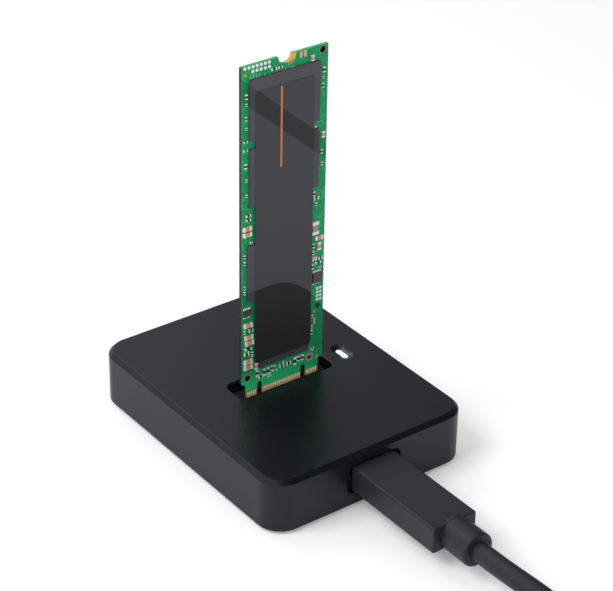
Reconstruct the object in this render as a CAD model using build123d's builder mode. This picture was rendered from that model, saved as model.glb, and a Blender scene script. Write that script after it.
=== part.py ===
# Docking station for an M.2 SSD card: a small flat case with an upright card socket, the card that
# stands in it, and a USB cable with its plug in the back.
# Millimetres. The origin is on the table under the case's middle, +Z up, +Y towards the cable.
from build123d import *
import math
import os

os.makedirs("parts", exist_ok=True)

# Case
dock_width = 52.3
dock_depth = 67.8
shell_height = 12.55
foot_stand = 0.8
corner_radius = 5.8
top_chamfer = 0.95
wall = 1.6
roof = 1.6

# Base plate, feet and case screws
base_recess = 0.3
base_thickness = 1.4
base_gap = 0.12
foot_radius = 3.5
foot_seat_depth = 0.5
foot_seat_gap = 0.1
foot_inset_x = 8.65
foot_inset_y = 8.9
foot_pitch_x = dock_width - 2 * foot_inset_x
foot_pitch_y = dock_depth - 2 * foot_inset_y
foot_edge = 0.3
post_radius = 3.0
post_inset = 3.2
case_screw_radius = 1.0
case_screw_reach = 6.0
case_head_radius = 1.8
case_head_height = 0.6
screw_gap = 0.05
hole_gap = 0.15
head_gap = 0.2

# Main board and its screws
board_thickness = 1.6
board_lift = 1.4
board_edge_gap = 0.45
board_post_gap = 0.4
board_screw_inset_x = 7.15
board_screw_inset_y = 12.9
board_screw_pitch_x = dock_width - 2 * board_screw_inset_x
board_screw_pitch_y = dock_depth - 2 * board_screw_inset_y
board_post_radius = 2.2
board_screw_radius = 0.75
board_screw_reach = 1.5
board_head_radius = 1.6
board_head_height = 0.9
board_hole_gap = 0.3
cross_width = 0.35
cross_length = 1.7
cross_depth = 0.35

# Slot in the roof and the light beside it
slot_length = 25.0
slot_width = 7.3
slot_corner = 1.7
slot_edge = 0.2
slot_y = -0.15
collar_wall = 1.0
collar_depth = 3.2
light_inset = 8.9
light_x = light_inset - dock_width / 2
light_y = -0.1
light_recess_length = 7.0
light_recess_width = 4.0
light_recess_depth = 0.6
light_length = 3.8
light_width = 1.4
light_gap = 0.08
light_flange = 0.9
light_flange_height = 0.8
diode_length = 3.2
diode_width = 1.6
diode_height = 0.7
diode_gap = 0.3
surge_width = 1.2
surge_gap = 1.95

# Card socket
socket_length = 22.9
socket_width = 5.2
socket_height = 6.2
socket_edge = 0.25
socket_play = 0.1
socket_channel = 0.8
socket_channel_floor = 0.6
socket_channel_height = 2.5
socket_mouth = 0.35
contact_pitch = 0.5
contact_count = 38
contact_width = 0.28
contact_back = 0.02
contact_key_gap = 0.85
tail_reach = 1.0
tail_height = 0.25
tab_width = 1.2
tab_height = 1.6
tab_thickness = 0.3
key_rib_width = 1.0
key_rib_drop = 0.6

# M.2 card, 22 x 80 with both key notches
card_width = 22.0
card_length = 80.0
card_thickness = 0.8
card_y = 0.2
card_bottom = 10.97
tongue_width = 19.85
tongue_length = 4.0
shoulder_radius = 0.5
tongue_corner = 0.4
key_notch_width = 1.2
key_notch_depth = 3.5
m_key_x = 6.125
b_key_x = -5.625
seat_gap = 0.1
screw_notch_radius = 1.75
notch_ring_radius = 2.75
pad_width = 0.36
pad_length = 2.1
pad_thickness = 0.03
pad_edge_gap = 0.15
chip_height = 0.7
chip_edge = 0.12
memory_chip_width = 17.85
memory_chip_length = 13.7
memory_chip_u = 10.74
memory_upper_v = 70.03
memory_lower_v = 54.44
cache_chip_width = 10.7
cache_chip_length = 13.6
cache_chip_u = 6.75
cache_chip_v = 31.9
controller_width = 13.4
controller_length = 13.4
controller_u = 10.97
controller_v = 14.05
label_thickness = 0.12
label_left = 3.1
label_width = 15.0
label_low = 9.05
label_high = 74.15
label_corner = 0.9
back_label_width = 19.0
back_label_length = 58.0
back_label_low = 12.0

# USB-C receptacle and the port in the wall
port_width = 13.8
port_height = 6.8
port_corner = 1.9
port_edge = 0.45
bezel_wall = 1.0
bezel_depth = 1.8
bezel_floor = 1.0
bezel_gap = 0.15
receptacle_width = 8.94
receptacle_height = 3.26
receptacle_length = 7.35
receptacle_wall = 0.3
receptacle_setback = 0.1
usb_play = 0.05
usb_tongue_width = 6.69
usb_tongue_thickness = 0.7
usb_tongue_setback = 1.2
usb_contact_pitch = 0.5
usb_contact_count = 12
usb_contact_width = 0.24
usb_contact_thickness = 0.05

# USB-C plug
plug_body_width = 11.3
plug_body_height = 6.2
plug_body_length = 27.1
plug_body_corner = 0.55
plug_body_edge = 0.3
plug_nose_depth = 0.6
plug_shell_length = 6.65
plug_shell_wall = 0.25
plug_insert_gap = 0.04
plug_mouth_width = 6.95
plug_mouth_height = 1.1
plug_mouth_depth = 5.5
relief_radius = 3.85
relief_length = 7.5
relief_edge = 0.55
relief_collar = 1.0

# Cable, its coil and the far plug
cable_diameter = 4.5
coil_radius = 25.0
coil_step = 2.3
coil_x = 23.8
coil_y = 111.0
coil_lift = 0.55
coil_top_arc = 135.0
coil_top_rise = 3.85
coil_round = 2.0
tie_width = 3.5
tie_thickness = 0.45
tie_gap = 0.1
far_plug_x = 56.0
far_plug_y = 95.3
far_plug_z = 4.1
far_plug_turn = 4.0
far_lead = 7.4
far_relief_length = 8.0
far_relief_small = 2.9
far_relief_big = 3.6
far_body_width = 15.7
far_body_height = 8.0
far_body_length = 28.0
far_body_corner = 1.6
far_body_edge = 0.8
far_shell_width = 12.0
far_shell_height = 4.5
far_shell_length = 12.0
far_shell_wall = 0.3
far_window = 2.2
far_window_pitch = 5.0
far_insert_height = 1.9
far_insert_gap = 0.05
far_contact_width = 1.0
far_contact_pitch = 2.3
far_contact_thickness = 0.12

# Heights and places that follow from the sizes above
shell_bottom = foot_stand
shell_top = shell_bottom + shell_height
roof_under = shell_top - roof
inner_width = dock_width - 2 * wall
inner_depth = dock_depth - 2 * wall
inner_corner = corner_radius - wall
base_bottom = shell_bottom + base_recess
base_top = base_bottom + base_thickness
board_bottom = base_top + board_lift
board_top = board_bottom + board_thickness
post_pitch_x = inner_width - 2 * post_inset
post_pitch_y = inner_depth - 2 * post_inset
socket_top = board_top + socket_height
card_seated_bottom = socket_top + seat_gap - tongue_length
card_front = card_y + card_thickness / 2
card_back = card_y - card_thickness / 2
wall_outside = dock_depth / 2
wall_inside = wall_outside - wall
usb_z = board_top + receptacle_height / 2
receptacle_front = wall_inside - receptacle_setback
receptacle_back = receptacle_front - receptacle_length
bezel_back = wall_inside - bezel_depth
board_usb_edge = bezel_back - bezel_gap
plug_nose = wall_outside - plug_nose_depth
plug_tail = plug_nose + plug_body_length
relief_end = plug_tail + relief_length
plug_shell_width = receptacle_width - 2 * receptacle_wall - 2 * usb_play
plug_shell_height = receptacle_height - 2 * receptacle_wall - 2 * usb_play

# The card's front seen from the cable side: u runs from its left edge, v from its contact edge
card_face = Plane(
    origin=(card_width / 2, card_front, card_bottom), x_dir=(-1, 0, 0), z_dir=(0, 1, 0)
)
card_rear = Plane(
    origin=(-card_width / 2, card_back, card_bottom), x_dir=(1, 0, 0), z_dir=(0, -1, 0)
)


def save(piece, name):
    piece.part.label = name
    export_step(piece.part, f"parts/{name}.step")


def across_y(y):
    # A sketch plane facing +Y at the given y, with the sketch's x along -X and its y up
    return Plane(origin=(0, y, 0), x_dir=(-1, 0, 0), z_dir=(0, 1, 0))


# Top shell: roof and walls in one moulding, with posts, slot, light recess and port
with BuildPart() as top_shell:
    with BuildSketch(Plane.XY.offset(shell_bottom)):
        RectangleRounded(dock_width, dock_depth, corner_radius)
    extrude(amount=shell_height)
    chamfer(top_shell.faces().sort_by(Axis.Z)[-1].edges(), top_chamfer)
    with BuildSketch(Plane.XY.offset(shell_bottom)):
        RectangleRounded(inner_width, inner_depth, inner_corner)
    extrude(amount=shell_height - roof, mode=Mode.SUBTRACT)
    with BuildSketch(Plane.XY.offset(base_top)):
        with GridLocations(post_pitch_x, post_pitch_y, 2, 2):
            Circle(post_radius)
    extrude(amount=roof_under - base_top)
    with BuildSketch(Plane.XY.offset(base_top)):
        with GridLocations(post_pitch_x, post_pitch_y, 2, 2):
            Circle(case_screw_radius + screw_gap)
    extrude(amount=case_screw_reach + screw_gap, mode=Mode.SUBTRACT)
    with BuildSketch(Plane.XY.offset(roof_under - collar_depth)):
        with Locations((0, slot_y)):
            RectangleRounded(
                slot_length + 2 * collar_wall, slot_width + 2 * collar_wall, slot_corner + collar_wall
            )
    extrude(amount=collar_depth)
    with BuildSketch(Plane.XY.offset(roof_under - collar_depth)):
        with Locations((0, slot_y)):
            RectangleRounded(slot_length, slot_width, slot_corner)
    extrude(amount=collar_depth + roof, mode=Mode.SUBTRACT)
    chamfer(top_shell.faces().sort_by(Axis.Z)[-1].inner_wires().edges(), slot_edge)
    with BuildSketch(Plane.XY.offset(shell_top)):
        with Locations((light_x, light_y)):
            SlotOverall(light_recess_length, light_recess_width, rotation=90)
    with BuildSketch(Plane.XY.offset(shell_top - light_recess_depth)):
        with Locations((light_x, light_y)):
            SlotOverall(light_length + 2 * light_gap, light_width + 2 * light_gap, rotation=90)
    loft(mode=Mode.SUBTRACT)
    with BuildSketch(Plane.XY.offset(roof_under)):
        with Locations((light_x, light_y)):
            SlotOverall(light_length + 2 * light_gap, light_width + 2 * light_gap, rotation=90)
    extrude(amount=roof - light_recess_depth, mode=Mode.SUBTRACT)
    with BuildSketch(across_y(wall_inside)):
        with Locations((0, usb_z)):
            RectangleRounded(port_width, port_height, port_corner)
    extrude(amount=wall, mode=Mode.SUBTRACT)
    fillet(top_shell.faces().sort_by(Axis.Y)[-1].inner_wires().edges(), port_edge)
save(top_shell, "top_shell")

# Port surround: a cup behind the wall opening, with a window for the receptacle in its floor
with BuildPart() as port_bezel:
    with BuildSketch(across_y(bezel_back)):
        with Locations((0, usb_z)):
            RectangleRounded(
                port_width + 2 * bezel_wall, port_height + 2 * bezel_wall, port_corner + bezel_wall
            )
    extrude(amount=bezel_depth)
    with BuildSketch(across_y(bezel_back + bezel_floor)):
        with Locations((0, usb_z)):
            RectangleRounded(port_width, port_height, port_corner)
    extrude(amount=bezel_depth - bezel_floor, mode=Mode.SUBTRACT)
    with BuildSketch(across_y(bezel_back)):
        with Locations((0, usb_z)):
            SlotOverall(receptacle_width + 2 * bezel_gap, receptacle_height + 2 * bezel_gap)
    extrude(amount=bezel_floor, mode=Mode.SUBTRACT)
save(port_bezel, "port_bezel")

# Base plate with seats for the feet, screw holes and posts for the board
with BuildPart() as base_plate:
    with BuildSketch(Plane.XY.offset(base_bottom)):
        RectangleRounded(inner_width - 2 * base_gap, inner_depth - 2 * base_gap, inner_corner - base_gap)
    extrude(amount=base_thickness)
    with BuildSketch(Plane.XY.offset(base_top)):
        with GridLocations(board_screw_pitch_x, board_screw_pitch_y, 2, 2):
            Circle(board_post_radius)
    extrude(amount=board_lift)
    with BuildSketch(Plane.XY.offset(board_bottom)):
        with GridLocations(board_screw_pitch_x, board_screw_pitch_y, 2, 2):
            Circle(board_screw_radius + screw_gap)
    extrude(amount=-(board_screw_reach + screw_gap), mode=Mode.SUBTRACT)
    with BuildSketch(Plane.XY.offset(base_bottom)):
        with GridLocations(foot_pitch_x, foot_pitch_y, 2, 2):
            Circle(foot_radius + foot_seat_gap)
    extrude(amount=foot_seat_depth, mode=Mode.SUBTRACT)
    with BuildSketch(Plane.XY.offset(base_bottom)):
        with GridLocations(post_pitch_x, post_pitch_y, 2, 2):
            Circle(case_screw_radius + hole_gap)
    extrude(amount=base_thickness, mode=Mode.SUBTRACT)
    with BuildSketch(Plane.XY.offset(base_bottom)):
        with GridLocations(post_pitch_x, post_pitch_y, 2, 2):
            Circle(case_head_radius + head_gap)
    extrude(amount=case_head_height + head_gap, mode=Mode.SUBTRACT)
save(base_plate, "base_plate")

# Rubber feet, one node each
foot_names = {
    "foot_front_left": (-1, -1),
    "foot_front_right": (1, -1),
    "foot_back_left": (-1, 1),
    "foot_back_right": (1, 1),
}
for foot_name, (side_x, side_y) in foot_names.items():
    with BuildPart() as rubber_foot:
        with BuildSketch(Plane.XY):
            with Locations((side_x * foot_pitch_x / 2, side_y * foot_pitch_y / 2)):
                Circle(foot_radius)
        extrude(amount=base_bottom + foot_seat_depth)
        fillet(rubber_foot.faces().sort_by(Axis.Z)[0].edges(), foot_edge)
    save(rubber_foot, foot_name)


def screws(seat_z, direction, pitch_x, pitch_y, shank_radius, reach, head_radius, head_height):
    # Four pan-head screws whose heads bear on seat_z; direction is +1 where they point up
    with BuildPart() as group:
        with BuildSketch(Plane.XY.offset(seat_z)):
            with GridLocations(pitch_x, pitch_y, 2, 2):
                Circle(head_radius)
        extrude(amount=-direction * head_height)
        with BuildSketch(Plane.XY.offset(seat_z)):
            with GridLocations(pitch_x, pitch_y, 2, 2):
                Circle(shank_radius)
        extrude(amount=direction * reach)
        with BuildSketch(Plane.XY.offset(seat_z - direction * head_height)):
            with GridLocations(pitch_x, pitch_y, 2, 2):
                Rectangle(cross_length, cross_width)
                Rectangle(cross_width, cross_length)
        extrude(amount=direction * cross_depth, mode=Mode.SUBTRACT)
    return group


case_seat_z = base_bottom + case_head_height + head_gap
save(
    screws(
        case_seat_z, 1, post_pitch_x, post_pitch_y, case_screw_radius,
        base_top - case_seat_z + case_screw_reach, case_head_radius, case_head_height,
    ),
    "case_screws",
)

# Main board: cut back for the case posts and behind the port surround
with BuildPart() as main_board:
    with BuildSketch(Plane.XY.offset(board_bottom)):
        board_width = inner_width - 2 * board_edge_gap
        board_front_edge = -inner_depth / 2 + board_edge_gap
        board_depth = board_usb_edge - board_front_edge
        with Locations((0, (board_usb_edge + board_front_edge) / 2)):
            RectangleRounded(board_width, board_depth, inner_corner - board_edge_gap)
        with GridLocations(post_pitch_x, post_pitch_y, 2, 2):
            Circle(post_radius + board_post_gap, mode=Mode.SUBTRACT)
        with GridLocations(board_screw_pitch_x, board_screw_pitch_y, 2, 2):
            Circle(board_screw_radius + board_hole_gap, mode=Mode.SUBTRACT)
    extrude(amount=board_thickness)
save(main_board, "main_board")
save(
    screws(
        board_top, -1, board_screw_pitch_x, board_screw_pitch_y, board_screw_radius,
        board_thickness + board_screw_reach, board_head_radius, board_head_height,
    ),
    "board_screws",
)

# Card socket housing: a block with a slot for the card, key ribs and contact channels
slot_floor = card_seated_bottom - 2 * seat_gap
slot_half = card_thickness / 2 + socket_play
channel_half = slot_half + socket_channel
with BuildPart() as socket_housing:
    with BuildSketch(Plane.XY.offset(board_top)):
        with Locations((0, card_y)):
            RectangleRounded(socket_length, socket_width, socket_edge)
    extrude(amount=socket_height)
    with BuildSketch(Plane.XY.offset(slot_floor)):
        with Locations((0, card_y)):
            Rectangle(tongue_width + 2 * socket_play, 2 * slot_half)
    extrude(amount=socket_top - slot_floor, mode=Mode.SUBTRACT)
    chamfer(
        socket_housing.faces().sort_by(Axis.Z)[-1].inner_wires().edges().filter_by(Axis.X), socket_mouth
    )
    with BuildSketch(Plane.XY.offset(slot_floor + socket_channel_floor)):
        with Locations((0, card_y)):
            Rectangle(tongue_width - contact_pitch, 2 * channel_half)
    extrude(amount=socket_channel_height, mode=Mode.SUBTRACT)
    with BuildSketch(Plane.XY.offset(slot_floor)):
        with Locations((m_key_x, card_y), (b_key_x, card_y)):
            Rectangle(key_rib_width, 2 * channel_half)
    extrude(amount=socket_top - key_rib_drop - slot_floor)
save(socket_housing, "socket_housing")


def contact_places(shift):
    # Places along X of one row of contacts, leaving out those at the key notches
    first = -(contact_count - 1) * contact_pitch / 2 + shift
    places = [first + step * contact_pitch for step in range(contact_count)]
    keys = (m_key_x, b_key_x)
    return [x for x in places if all(abs(x - key) > contact_key_gap for key in keys)]


# Socket contacts: spring blades in the channels and solder tails on the board, one node per row
for row_name, side, shift in (("socket_contacts_front", 1, 0.0), ("socket_contacts_back", -1, 0.25)):
    blade_depth = socket_channel - contact_back
    blade_y = card_y + side * (channel_half - blade_depth / 2)
    tail_y = card_y + side * (socket_width + tail_reach) / 2
    places = [x for x in contact_places(shift) if abs(x) < (tongue_width - contact_pitch) / 2 - contact_width]
    with BuildPart() as contact_row:
        with BuildSketch(Plane.XY.offset(slot_floor + socket_channel_floor)):
            with Locations(*[(x, blade_y) for x in places]):
                Rectangle(contact_width, blade_depth)
        extrude(amount=socket_channel_height)
        with BuildSketch(Plane.XY.offset(board_top)):
            with Locations(*[(x, tail_y) for x in places]):
                Rectangle(contact_width, tail_reach)
        extrude(amount=tail_height)
    save(contact_row, row_name)

# Hold-down tabs at the socket's two ends
with BuildPart() as socket_tabs:
    for end in (-1, 1):
        with BuildSketch(Plane.XY.offset(board_top)):
            with Locations((end * (socket_length + tab_thickness) / 2, card_y)):
                Rectangle(tab_thickness, tab_width)
        extrude(amount=tab_height)
        with BuildSketch(Plane.XY.offset(board_top)):
            with Locations((end * (socket_length + 2 * tab_thickness + tab_width) / 2, card_y)):
                Rectangle(tab_width, tab_width)
        extrude(amount=tab_thickness)
save(socket_tabs, "socket_tabs")

# USB-C receptacle: shell, tongue and contacts
with BuildPart() as receptacle_shell:
    with BuildSketch(across_y(receptacle_back)):
        with Locations((0, usb_z)):
            SlotOverall(receptacle_width, receptacle_height)
    extrude(amount=receptacle_length)
    with BuildSketch(across_y(receptacle_back + receptacle_wall)):
        with Locations((0, usb_z)):
            SlotOverall(receptacle_width - 2 * receptacle_wall, receptacle_height - 2 * receptacle_wall)
    extrude(amount=receptacle_length - receptacle_wall, mode=Mode.SUBTRACT)
save(receptacle_shell, "receptacle_shell")

tongue_back = receptacle_back + receptacle_wall
tongue_front = receptacle_front - usb_tongue_setback
with BuildPart() as receptacle_tongue:
    with BuildSketch(across_y(tongue_back)):
        with Locations((0, usb_z)):
            Rectangle(usb_tongue_width, usb_tongue_thickness)
    extrude(amount=tongue_front - tongue_back)
save(receptacle_tongue, "receptacle_tongue")

usb_contact_length = tongue_front - tongue_back - 1.5
with BuildPart() as receptacle_contacts:
    for face in (-1, 1):
        strip_z = usb_z + face * (usb_tongue_thickness + usb_contact_thickness) / 2
        with BuildSketch(across_y(tongue_front - usb_contact_length)):
            with Locations((0, strip_z)):
                with GridLocations(usb_contact_pitch, 1, usb_contact_count, 1):
                    Rectangle(usb_contact_width, usb_contact_thickness)
        extrude(amount=usb_contact_length - 0.4)
save(receptacle_contacts, "receptacle_contacts")


def on_board(name, blocks, edge=0.0):
    # Blocks that stand on the main board: each is x, y, size in x, size in y, height
    with BuildPart() as group:
        for x, y, size_x, size_y, height in blocks:
            with BuildSketch(Plane.XY.offset(board_top)):
                with Locations((x, y)):
                    Rectangle(size_x, size_y)
            extrude(amount=height)
        if edge:
            chamfer(group.edges().filter_by(Axis.Z), edge)
    save(group, name)


on_board("bridge_chip", [(0, 13.5, 9.0, 9.0, 0.9)], 0.3)
on_board("flash_chip", [(12.5, 14.0, 5.0, 4.0, 1.4)], 0.1)
on_board("crystal", [(-9.0, 14.5, 3.2, 2.5, 0.8)], 0.4)
on_board("voltage_regulator", [(10.0, -12.0, 3.0, 3.0, 1.0)], 0.1)
on_board("power_inductor", [(3.0, -12.0, 4.2, 4.2, 2.0)], 0.6)
surge_y = receptacle_back - surge_gap - surge_width / 2
on_board("surge_chip", [(0, surge_y, 2.5, surge_width, 0.6)], 0.1)
on_board("bulk_capacitors", [(-5.0, -11.0, 3.5, 2.8, 1.9), (-5.0, -16.0, 3.5, 2.8, 1.9)], 0.1)
on_board("light_diode", [(light_x, light_y, diode_width, diode_length, diode_height)])

capacitor_places = [
    (-6.5, 10.0), (-6.5, 18.5), (6.6, 9.6), (6.6, 17.6), (-3.0, 20.0), (3.0, 20.0), (14.5, 8.5),
    (8.0, -17.0), (12.0, -17.0), (0.0, -17.0), (-10.0, -11.0), (-10.0, -15.0), (-14.0, 8.0), (16.5, -8.0),
]
on_board("board_capacitors", [(x, y, 1.6, 0.8, 0.8) for x, y in capacitor_places])
resistor_places = [
    (-9.0, 21.5), (-6.5, 22.5), (6.5, 22.5), (9.0, 21.5), (12.5, 18.5), (-12.5, 12.0), (-12.5, 10.5),
    (-17.25, 4.5), (15.5, -12.0), (15.5, -14.0), (6.5, -8.0), (-1.5, -8.0),
]
on_board("board_resistors", [(x, y, 1.0, 0.5, 0.35) for x, y in resistor_places])

# Light window: an oval light pipe, held by a flange under the roof, over the diode
with BuildPart() as light_window:
    with BuildSketch(Plane.XY.offset(board_top + diode_height + diode_gap)):
        with Locations((light_x, light_y)):
            SlotOverall(light_length, light_width, rotation=90)
    extrude(amount=shell_top - light_recess_depth - board_top - diode_height - diode_gap)
    with BuildSketch(Plane.XY.offset(roof_under)):
        with Locations((light_x, light_y)):
            SlotOverall(light_length + 2 * light_flange, light_width + 2 * light_flange, rotation=90)
    extrude(amount=-light_flange_height)
save(light_window, "light_window")

# Card board: tongue with two key notches, shoulders, screw notch and two tooling holes
tooling_holes = [(20.5, 78.95), (1.6, 5.5)]
tooling_radius = 0.74
with BuildPart() as card_board:
    with BuildSketch(card_face):
        with BuildLine():
            shoulder = (card_width - tongue_width) / 2
            Polyline(
                (shoulder, 0), (card_width - shoulder, 0), (card_width - shoulder, tongue_length),
                (card_width, tongue_length), (card_width, card_length), (0, card_length),
                (0, tongue_length), (shoulder, tongue_length), close=True,
            )
        make_face()
        for key_x in (m_key_x, b_key_x):
            key_u = card_width / 2 - key_x
            with Locations((key_u, (key_notch_depth - key_notch_width / 2) / 2)):
                Rectangle(key_notch_width, key_notch_depth - key_notch_width / 2, mode=Mode.SUBTRACT)
            with Locations((key_u, key_notch_depth - key_notch_width / 2)):
                Circle(key_notch_width / 2, mode=Mode.SUBTRACT)
        with Locations((card_width / 2, card_length)):
            Circle(screw_notch_radius, mode=Mode.SUBTRACT)
        with Locations(*tooling_holes):
            Circle(tooling_radius, mode=Mode.SUBTRACT)
    extrude(amount=-card_thickness)
    crosswise = card_board.edges().filter_by(Axis.Y)
    shoulder_z = card_bottom + tongue_length
    fillet(crosswise.filter_by_position(Axis.Z, shoulder_z - 0.01, shoulder_z + 0.01), shoulder_radius)
    crosswise = card_board.edges().filter_by(Axis.Y)
    foot_edges = crosswise.filter_by_position(Axis.Z, card_bottom - 0.01, card_bottom + 0.01).sort_by(Axis.X)
    chamfer([foot_edges[0], foot_edges[-1]], tongue_corner)
save(card_board, "card_board")


def on_card(name, blocks, height, face=card_face, edge=0.0):
    # Blocks that lie on the card's face: each is its middle u, v and its size along u and v
    with BuildPart() as group:
        with BuildSketch(face):
            for u, v, size_u, size_v in blocks:
                with Locations((u, v)):
                    Rectangle(size_u, size_v)
        extrude(amount=height)
        if edge:
            chamfer(group.edges().filter_by(Axis.Y), edge)
    save(group, name)


# Edge contacts on both faces, and the plated ring of the screw notch
for row_name, face, shift in (("card_contacts_front", card_face, 0.0), ("card_contacts_back", card_rear, 0.25)):
    pad_half = tongue_width / 2 - tongue_corner - pad_width / 2
    side = 1 if face is card_face else -1
    pads = [x for x in contact_places(shift) if abs(x) < pad_half]
    middle_v = pad_edge_gap + pad_length / 2
    on_card(row_name, [(card_width / 2 - side * x, middle_v, pad_width, pad_length) for x in pads],
            pad_thickness, face)
with BuildPart() as notch_ring:
    for face in (card_face, card_rear):
        with BuildSketch(face):
            with Locations((card_width / 2, card_length)):
                Circle(notch_ring_radius)
                Circle(screw_notch_radius, mode=Mode.SUBTRACT)
            with Locations((card_width / 2, card_length + notch_ring_radius)):
                Rectangle(2 * notch_ring_radius, 2 * notch_ring_radius, mode=Mode.SUBTRACT)
        extrude(amount=pad_thickness)
save(notch_ring, "notch_ring")

# Chips under the label: middle u, v and size along u and v
chips = {
    "memory_chip_upper": (memory_chip_u, memory_upper_v, memory_chip_width, memory_chip_length),
    "memory_chip_lower": (memory_chip_u, memory_lower_v, memory_chip_width, memory_chip_length),
    "cache_chip": (cache_chip_u, cache_chip_v, cache_chip_width, cache_chip_length),
    "controller_chip": (controller_u, controller_v, controller_width, controller_length),
}
for chip_name, chip_place in chips.items():
    on_card(chip_name, [chip_place], chip_height, edge=chip_edge)

# Ceramic capacitors in the side margins of the card's front
card_capacitor_height = 0.5
card_capacitors = [
    (1.36, 42.9, 2.1, 1.0), (1.37, 41.5, 2.1, 1.0), (1.6, 19.14, 2.2, 1.1), (1.76, 16.03, 2.2, 1.1),
    (1.91, 14.62, 2.2, 1.1), (1.59, 9.85, 2.2, 1.1), (1.59, 8.46, 2.2, 1.1), (20.29, 34.85, 2.0, 1.0),
    (20.37, 32.76, 1.0, 1.9), (20.84, 59.53, 0.8, 1.4), (17.77, 77.8, 0.7, 1.2), (19.12, 29.99, 1.0, 1.0),
    (3.7, 8.02, 0.8, 1.5),
]
on_card("card_capacitors", card_capacitors, card_capacitor_height)

# Small parts: two-ended parts of 1 x 0.5 mm, or half that, scattered along the margins
card_small_height = 0.3
card_small_parts = [
    (1.14, 73.35, 0.55, 1.1), (1.2, 71.58, 0.5, 0.5), (1.11, 68.46, 0.4, 0.9), (1.17, 66.18, 0.5, 0.5),
    (0.98, 63.19, 0.9, 0.5), (0.99, 61.23, 0.9, 0.5), (1.01, 57.64, 0.55, 1.1), (1.17, 54.28, 0.5, 0.6),
    (1.18, 50.72, 0.5, 0.6), (1.69, 45.87, 1.2, 0.5), (1.7, 44.86, 1.2, 0.5), (0.71, 36.26, 0.4, 0.8),
    (0.71, 34.67, 0.4, 0.8), (0.74, 28.63, 0.4, 0.7), (0.74, 27.36, 0.4, 0.7), (2.45, 39.25, 0.6, 0.6),
    (0.69, 17.58, 0.5, 0.8), (2.42, 17.58, 1.1, 0.8), (1.77, 13.03, 1.8, 0.4), (1.24, 11.78, 1.2, 0.6),
    (2.73, 11.58, 0.6, 0.8), (20.87, 74.37, 0.6, 1.2), (20.65, 72.7, 0.5, 0.5), (20.64, 70.82, 0.4, 1.0),
    (20.61, 55.53, 0.5, 0.9), (20.63, 52.67, 0.5, 0.7), (18.85, 45.88, 0.5, 1.1),
    (19.43, 44.67, 1.2, 0.7), (19.42, 43.26, 0.5, 0.7), (18.95, 33.16, 0.5, 1.0),
    (18.94, 31.37, 0.6, 0.8), (20.88, 29.59, 1.0, 0.7), (20.28, 28.6, 1.5, 0.5), (18.82, 28.01, 0.5, 1.2),
    (20.76, 27.41, 0.7, 0.4), (18.92, 15.39, 0.5, 0.6), (18.89, 12.68, 0.5, 0.6),
    (18.79, 11.32, 0.5, 1.0), (8.04, 77.75, 1.4, 0.5), (9.64, 77.76, 0.9, 0.5), (4.18, 6.01, 0.6, 1.3),
    (6.0, 5.62, 0.5, 1.6), (7.05, 5.61, 0.5, 1.6), (8.11, 5.89, 0.5, 1.2), (5.05, 4.66, 1.2, 0.6),
    (10.69, 5.5, 1.1, 0.9), (12.61, 5.49, 1.1, 0.9), (14.33, 5.38, 0.6, 1.8), (15.39, 5.67, 0.5, 1.3),
    (16.35, 5.66, 0.6, 1.4), (19.04, 6.99, 0.9, 0.5),
]
on_card("card_small_parts", card_small_parts, card_small_height)
on_card("card_power_chip", [(20.0, 25.0, 2.3, 2.5)], 0.6, edge=0.08)
on_card("card_logic_chip", [(1.35, 22.25, 1.9, 1.6)], 0.45, edge=0.08)
on_card("card_oscillator", [(18.15, 5.15, 1.9, 1.6)], 0.5, edge=0.12)
on_card("card_fuse", [(19.25, 37.5, 1.7, 3.15)], 0.55)

# Labels: one over the chips, one on the back
with BuildPart() as card_label:
    with BuildSketch(card_face.offset(chip_height)):
        with Locations((label_left + label_width / 2, (label_low + label_high) / 2)):
            RectangleRounded(label_width, label_high - label_low, label_corner)
    extrude(amount=label_thickness)
save(card_label, "card_label")
with BuildPart() as card_back_label:
    with BuildSketch(card_rear):
        with Locations((card_width / 2, back_label_low + back_label_length / 2)):
            RectangleRounded(back_label_width, back_label_length, label_corner)
    extrude(amount=label_thickness)
save(card_back_label, "card_back_label")

# USB-C plug: metal shell, insert with a mouth for the tongue, body and round strain relief
with BuildPart() as plug_shell:
    with BuildSketch(across_y(plug_nose - plug_shell_length)):
        with Locations((0, usb_z)):
            SlotOverall(plug_shell_width, plug_shell_height)
            SlotOverall(
                plug_shell_width - 2 * plug_shell_wall, plug_shell_height - 2 * plug_shell_wall,
                mode=Mode.SUBTRACT,
            )
    extrude(amount=plug_shell_length)
save(plug_shell, "plug_shell")

insert_trim = 2 * (plug_shell_wall + plug_insert_gap)
with BuildPart() as plug_insert:
    with BuildSketch(across_y(plug_nose - plug_shell_length)):
        with Locations((0, usb_z)):
            SlotOverall(plug_shell_width - insert_trim, plug_shell_height - insert_trim)
    extrude(amount=plug_shell_length)
    with BuildSketch(across_y(plug_nose - plug_shell_length)):
        with Locations((0, usb_z)):
            Rectangle(plug_mouth_width, plug_mouth_height)
    extrude(amount=plug_mouth_depth, mode=Mode.SUBTRACT)
save(plug_insert, "plug_insert")

with BuildPart() as plug_body:
    with BuildSketch(across_y(plug_nose)):
        with Locations((0, usb_z)):
            RectangleRounded(plug_body_width, plug_body_height, plug_body_corner)
    extrude(amount=plug_body_length)
    ends = plug_body.faces().filter_by(Axis.Y).edges()
    fillet(ends, plug_body_edge)
    with BuildSketch(across_y(plug_tail - relief_collar)):
        with Locations((0, usb_z)):
            Circle(relief_radius)
    extrude(amount=relief_collar)
save(plug_body, "plug_body")

with BuildPart() as plug_relief:
    with BuildSketch(across_y(plug_tail)):
        with Locations((0, usb_z)):
            Circle(relief_radius)
    extrude(amount=relief_length)
    fillet(plug_relief.faces().sort_by(Axis.Y)[-1].edges(), relief_edge)
save(plug_relief, "plug_relief")


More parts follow.
